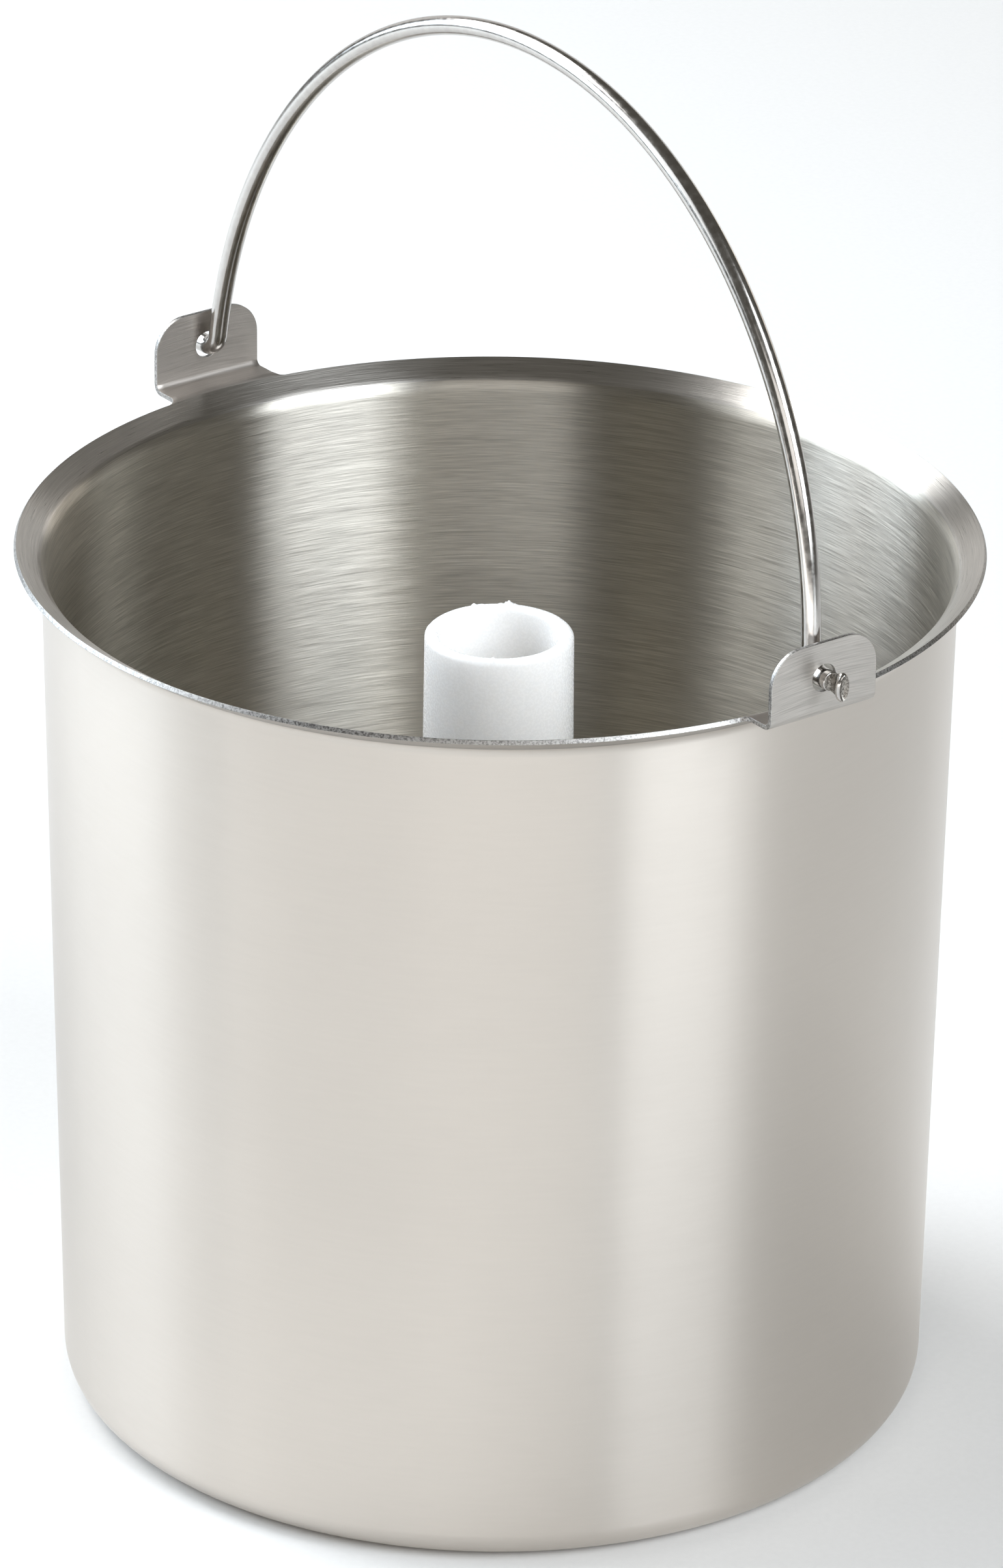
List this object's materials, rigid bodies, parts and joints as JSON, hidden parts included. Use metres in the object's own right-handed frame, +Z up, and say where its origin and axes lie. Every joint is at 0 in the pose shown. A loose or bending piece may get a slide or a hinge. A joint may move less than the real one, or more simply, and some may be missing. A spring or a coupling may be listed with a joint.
{
  "type": "milk pail",
  "caption": "Straight-walled steel pail with a flared rim, two turned-up ears, a swinging wire bail and an open plastic centre tube for a drive shaft.",
  "frame": {"origin": "centre of the flat base, on the pail's axis", "axes": "+Z up along the pail's axis, X through the two ears along the bail's hinge line"},
  "size_m": [0.1698, 0.15, 0.2231],
  "materials": {
    "shell": "fine brushed stainless steel",
    "wire": "bright polished stainless wire",
    "tube": "milky white moulded plastic",
    "gasket": "pale silicone rubber",
    "nut": "white moulded plastic"
  },
  "bodies": {
    "pail": {"pail_shell": "shell", "centre_tube": "tube", "tube_gasket": "gasket", "tube_nut": "nut"},
    "bail": {"bail_handle": "wire"}
  },
  "joints": [
    {"name": "bail_swing", "type": "hinge", "parent": "pail", "child": "bail", "pos_m": [0, 0, 0.1481], "axis": [1, 0, 0], "range_deg": [-89.3, 97.3]}
  ]
}
